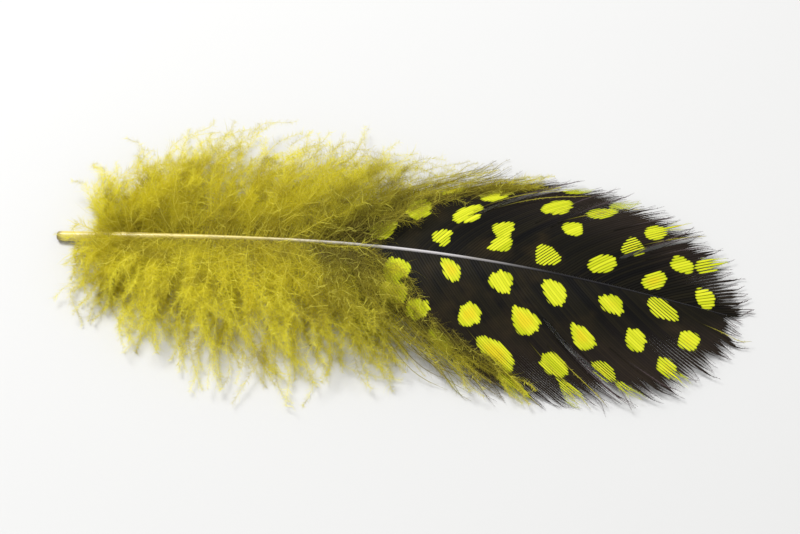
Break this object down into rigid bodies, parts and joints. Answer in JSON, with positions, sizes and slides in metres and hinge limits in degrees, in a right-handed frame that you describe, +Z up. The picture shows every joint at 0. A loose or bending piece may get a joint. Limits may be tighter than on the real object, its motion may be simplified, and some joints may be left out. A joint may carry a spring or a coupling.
{
  "type": "guinea fowl feather",
  "caption": "Single dyed guinea fowl body feather lying flat: a bare quill, loose yellow down round its lower part and a round-ended black vane with yellow spots.",
  "frame": {"origin": "on the surface that the feather lies on, under the middle of its box", "axes": "+X along the shaft, from the quill to the feather's tip; +Z up, the feather's outer side; +Y to its left seen from the quill"},
  "size_m": [0.1001, 0.0459, 0.0079],
  "materials": {
    "vane": "near black with round lemon yellow spots, a soft silky sheen along the barbs",
    "down": "loose matt olive yellow down",
    "shaft": "smooth horn, pale yellow at the quill and silvery grey to dark along the vane"
  },
  "bodies": {
    "root": {"feather": "vane"}
  },
  "joints": []
}
